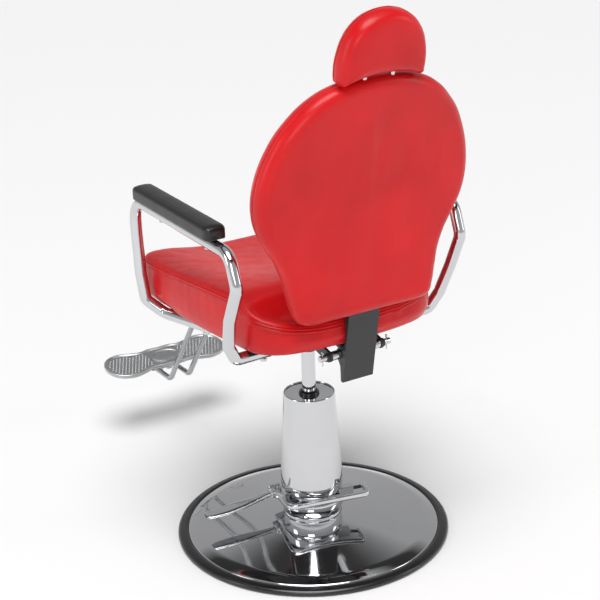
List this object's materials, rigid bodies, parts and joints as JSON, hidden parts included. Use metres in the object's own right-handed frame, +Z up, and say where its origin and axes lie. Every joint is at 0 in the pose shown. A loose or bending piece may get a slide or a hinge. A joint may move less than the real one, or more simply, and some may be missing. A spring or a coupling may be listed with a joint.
{
  "type": "reclining hydraulic barber chair",
  "caption": "Reclining barber chair with a hydraulic column on a round floor disc, tube armrests, sliding headrest and hinged footrest.",
  "frame": {"origin": "on the floor, on the axis of the hydraulic column", "axes": "+Z up; the sitter faces -Y; +X is the sitter's left"},
  "size_m": [0.6, 1.0713, 1.2116],
  "materials": {
    "chrome": "mirror-polished chrome plate",
    "steel": "bright zinc-plated steel",
    "black_steel": "satin black powder coat",
    "rubber": "glossy black rubber",
    "arm_pad": "black self-skinned polyurethane foam, fine leather texture",
    "grip": "black moulded rubber",
    "aluminium": "cast aluminium, dotted tread",
    "red_leather": "glossy bright red synthetic leather",
    "plywood": "raw plywood"
  },
  "bodies": {
    "base": {"base_trim_ring": "rubber", "base_disc": "chrome", "base_ring_nut": "steel", "pump_body": "chrome", "pump_gland": "steel", "pump_cover": "chrome", "pump_cover_cap": "chrome", "ram_seal": "rubber", "lever_bracket": "steel", "valve_block": "chrome", "lever_stop_screw": "black_steel"},
    "pump_pedal_lever": {"pump_lever": "chrome"},
    "ram": {"ram": "chrome"},
    "seat": {"seat_hub": "black_steel", "seat_plate": "black_steel", "seat_board": "plywood", "seat_cushion": "red_leather", "arm_tube_left": "chrome", "arm_tube_right": "chrome", "arm_pad_left": "arm_pad", "arm_pad_right": "arm_pad", "pad_screw_front_left": "steel", "pad_screw_front_right": "steel", "pad_screw_rear_left": "steel", "pad_screw_rear_right": "steel", "arm_bolt_front_left": "steel", "arm_bolt_front_right": "steel", "arm_bolt_rear_left": "steel", "arm_bolt_rear_right": "steel", "hinge_lug_left": "black_steel", "hinge_lug_right": "black_steel", "hinge_spacer_left": "chrome", "hinge_spacer_right": "chrome", "hinge_axle": "chrome", "cotter_pin_left": "steel", "cotter_pin_right": "steel", "footrest_bar_left": "steel", "footrest_bar_right": "steel", "footrest_clamp": "black_steel", "footplate_shaft": "black_steel", "strut_mount": "black_steel", "lever_bearing_inner": "black_steel", "lever_bearing_outer": "black_steel"},
    "backrest": {"back_bracket": "black_steel", "back_board": "plywood", "back_cushion": "red_leather", "back_cover": "red_leather", "headrest_socket_left": "steel", "headrest_socket_right": "steel"},
    "headrest": {"headrest_rod_left": "chrome", "headrest_rod_right": "chrome", "headrest_core": "plywood", "headrest_cushion": "red_leather"},
    "footplate": {"footplate": "aluminium"},
    "strut_body": {"strut_body": "black_steel"},
    "strut_rod": {"strut_rod": "chrome"},
    "recline_lever": {"recline_lever": "chrome", "recline_lever_grip": "grip"}
  },
  "joints": [
    {"name": "lift", "type": "slide", "parent": "base", "child": "ram", "axis": [0, 0, 1], "range_m": [-0.09, 0.08]},
    {"name": "swivel", "type": "hinge", "parent": "ram", "child": "seat", "pos_m": [0, 0, 0.47], "axis": [0, 0, 1], "continuous": true},
    {"name": "recline", "type": "hinge", "parent": "seat", "child": "backrest", "pos_m": [0, 0.1826, 0.4905], "axis": [-1, 0, 0], "range_deg": [0, 35]},
    {"name": "headrest_slide", "type": "slide", "parent": "backrest", "child": "headrest", "axis": [0, 0.2079, 0.9781], "range_m": [0, 0.09]},
    {"name": "footplate_flip", "type": "hinge", "parent": "seat", "child": "footplate", "pos_m": [0, -0.6973, 0.144], "axis": [1, 0, 0], "range_deg": [0, 95]},
    {"name": "pump_pedal", "type": "hinge", "parent": "base", "child": "pump_pedal_lever", "pos_m": [0.07544, -0.03838, 0.09], "axis": [0.2181, 0.9759, 0], "range_deg": [0, 11], "stiffness_Nm_per_rad": 6, "springref_deg": -14.32},
    {"name": "strut_tilt", "type": "hinge", "parent": "seat", "child": "strut_body", "pos_m": [-0.015, 0.05, 0.494], "axis": [1, 0, 0], "range_deg": [0, 2.5]},
    {"name": "strut_stroke", "type": "slide", "parent": "strut_body", "child": "strut_rod", "axis": [0, -0.9455, 0.3256], "range_m": [0, 0.0245]},
    {"name": "recline_lever_turn", "type": "hinge", "parent": "seat", "child": "recline_lever", "pos_m": [-0.13, 0.02, 0.484], "axis": [-1, 0, 0], "range_deg": [0, 12], "stiffness_Nm_per_rad": 1.5, "springref_deg": -17.19}
  ],
  "couplings": [
    {"joint": "strut_tilt", "follows": "recline", "ratio": 0.0675},
    {"joint": "strut_stroke", "follows": "recline", "m_per_rad": 0.0384}
  ]
}
